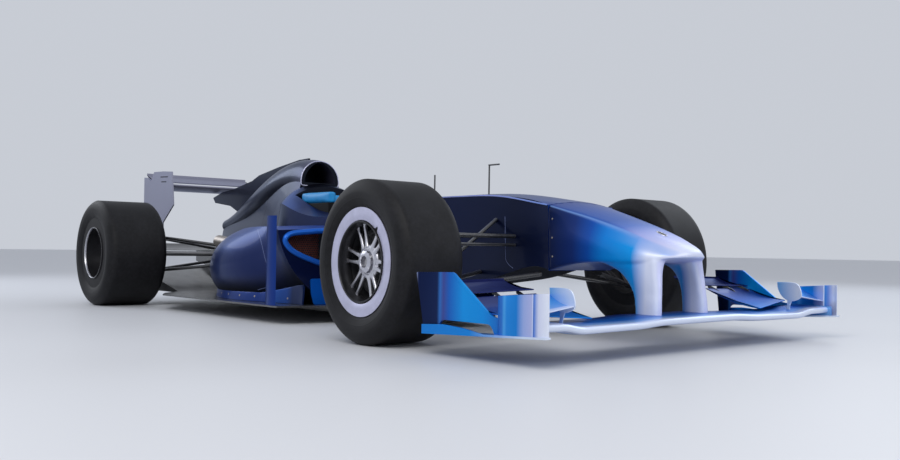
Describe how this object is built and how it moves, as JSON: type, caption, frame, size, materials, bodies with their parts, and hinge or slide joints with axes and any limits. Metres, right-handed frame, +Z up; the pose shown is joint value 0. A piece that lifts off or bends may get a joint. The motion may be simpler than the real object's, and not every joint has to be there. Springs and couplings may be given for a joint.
{
  "type": "open wheel racing car",
  "caption": "Single-seat open wheel racing car with wings, open cockpit, steered front wheels and freely turning wheels.",
  "frame": {"origin": "on the ground, halfway along the car's length, on its middle plane", "axes": "+X forward towards the nose, +Y to the driver's left, +Z up"},
  "size_m": [4.88, 1.838, 0.9356],
  "materials": {
    "azure_paint": "gloss blue clear-coated paint",
    "pale_paint": "pale icy blue clear-coated paint",
    "navy_paint": "deep navy blue clear-coated paint",
    "black_paint": "gloss black clear-coated paint",
    "lilac_paint": "satin lavender grey paint",
    "carbon": "satin carbon fibre laminate",
    "cyan_pad": "smooth cyan blue padded cover",
    "seat_shell": "black padded seat",
    "cast_alloy": "cast alloy",
    "bright_alloy": "machined magnesium alloy",
    "ring_alloy": "satin anodised disc",
    "steel_tube": "heat-stained steel",
    "slick_rubber": "slick tyre rubber",
    "lamp_red": "clear red lamp lens",
    "core_alloy": "radiator core"
  },
  "bodies": {
    "root": {"monocoque": "navy_paint", "seat": "seat_shell", "headrest": "cyan_pad", "nose_cone": "pale_paint", "front_wing_main_plane": "pale_paint", "front_wing_flaps": "azure_paint", "front_wing_endplates": "azure_paint", "front_wing_fences": "pale_paint", "front_wing_cascades": "pale_paint", "floor": "carbon", "plank": "carbon", "diffuser": "carbon", "bargeboards": "azure_paint", "sidepod_vanes": "navy_paint", "sidepod_left": "navy_paint", "sidepod_right": "navy_paint", "radiator_cores": "core_alloy", "engine_cover": "black_paint", "engine_block": "cast_alloy", "gearbox_casing": "carbon", "rain_light": "lamp_red", "exhausts": "steel_tube", "rear_wing_planes": "lilac_paint", "rear_wing_endplates": "lilac_paint", "beam_wing": "carbon", "front_suspension_arms": "carbon", "rear_suspension_arms": "carbon", "rear_uprights": "carbon", "aerials": "carbon"},
    "steering_wheel": {"steering_wheel": "carbon"},
    "rack": {"steering_rack": "carbon"},
    "knuckle_left": {"front_upright_left": "cast_alloy"},
    "front_wheel_left": {"front_tyre_left": "slick_rubber", "front_rim_left": "bright_alloy", "front_wheel_ring_left": "ring_alloy"},
    "rear_wheel_left": {"rear_tyre_left": "slick_rubber", "rear_rim_left": "bright_alloy", "rear_driveshaft_left": "cast_alloy"},
    "knuckle_right": {"front_upright_right": "cast_alloy"},
    "front_wheel_right": {"front_tyre_right": "slick_rubber", "front_rim_right": "bright_alloy", "front_wheel_ring_right": "ring_alloy"},
    "rear_wheel_right": {"rear_tyre_right": "slick_rubber", "rear_rim_right": "bright_alloy", "rear_driveshaft_right": "cast_alloy"}
  },
  "joints": [
    {"name": "steer_left", "type": "hinge", "parent": "root", "child": "knuckle_left", "pos_m": [1.34, 0.7, 0.33], "axis": [0, 0, 1], "range_deg": [-16, 16]},
    {"name": "steer_right", "type": "hinge", "parent": "root", "child": "knuckle_right", "pos_m": [1.34, -0.7, 0.33], "axis": [0, 0, 1], "range_deg": [-17, 17]},
    {"name": "rack_slide", "type": "slide", "parent": "root", "child": "rack", "axis": [0, 1, 0], "range_m": [-0.03, 0.03]},
    {"name": "steering_turn", "type": "hinge", "parent": "root", "child": "steering_wheel", "pos_m": [0.28, 0, 0.56], "axis": [-0.9272, 0, 0.3746], "range_deg": [-160, 160]},
    {"name": "front_spin_left", "type": "hinge", "parent": "knuckle_left", "child": "front_wheel_left", "pos_m": [1.34, 0.75, 0.33], "axis": [0, 1, 0], "continuous": true},
    {"name": "front_spin_right", "type": "hinge", "parent": "knuckle_right", "child": "front_wheel_right", "pos_m": [1.34, -0.75, 0.33], "axis": [0, 1, 0], "continuous": true},
    {"name": "rear_spin_left", "type": "hinge", "parent": "root", "child": "rear_wheel_left", "pos_m": [-1.82, 0.72, 0.33], "axis": [0, 1, 0], "continuous": true},
    {"name": "rear_spin_right", "type": "hinge", "parent": "root", "child": "rear_wheel_right", "pos_m": [-1.82, -0.72, 0.33], "axis": [0, 1, 0], "continuous": true}
  ],
  "couplings": [
    {"joint": "steer_right", "follows": "steer_left", "ratio": 1},
    {"joint": "rack_slide", "follows": "steer_left", "m_per_rad": 0.1},
    {"joint": "steering_turn", "follows": "steer_left", "ratio": 9.5}
  ]
}
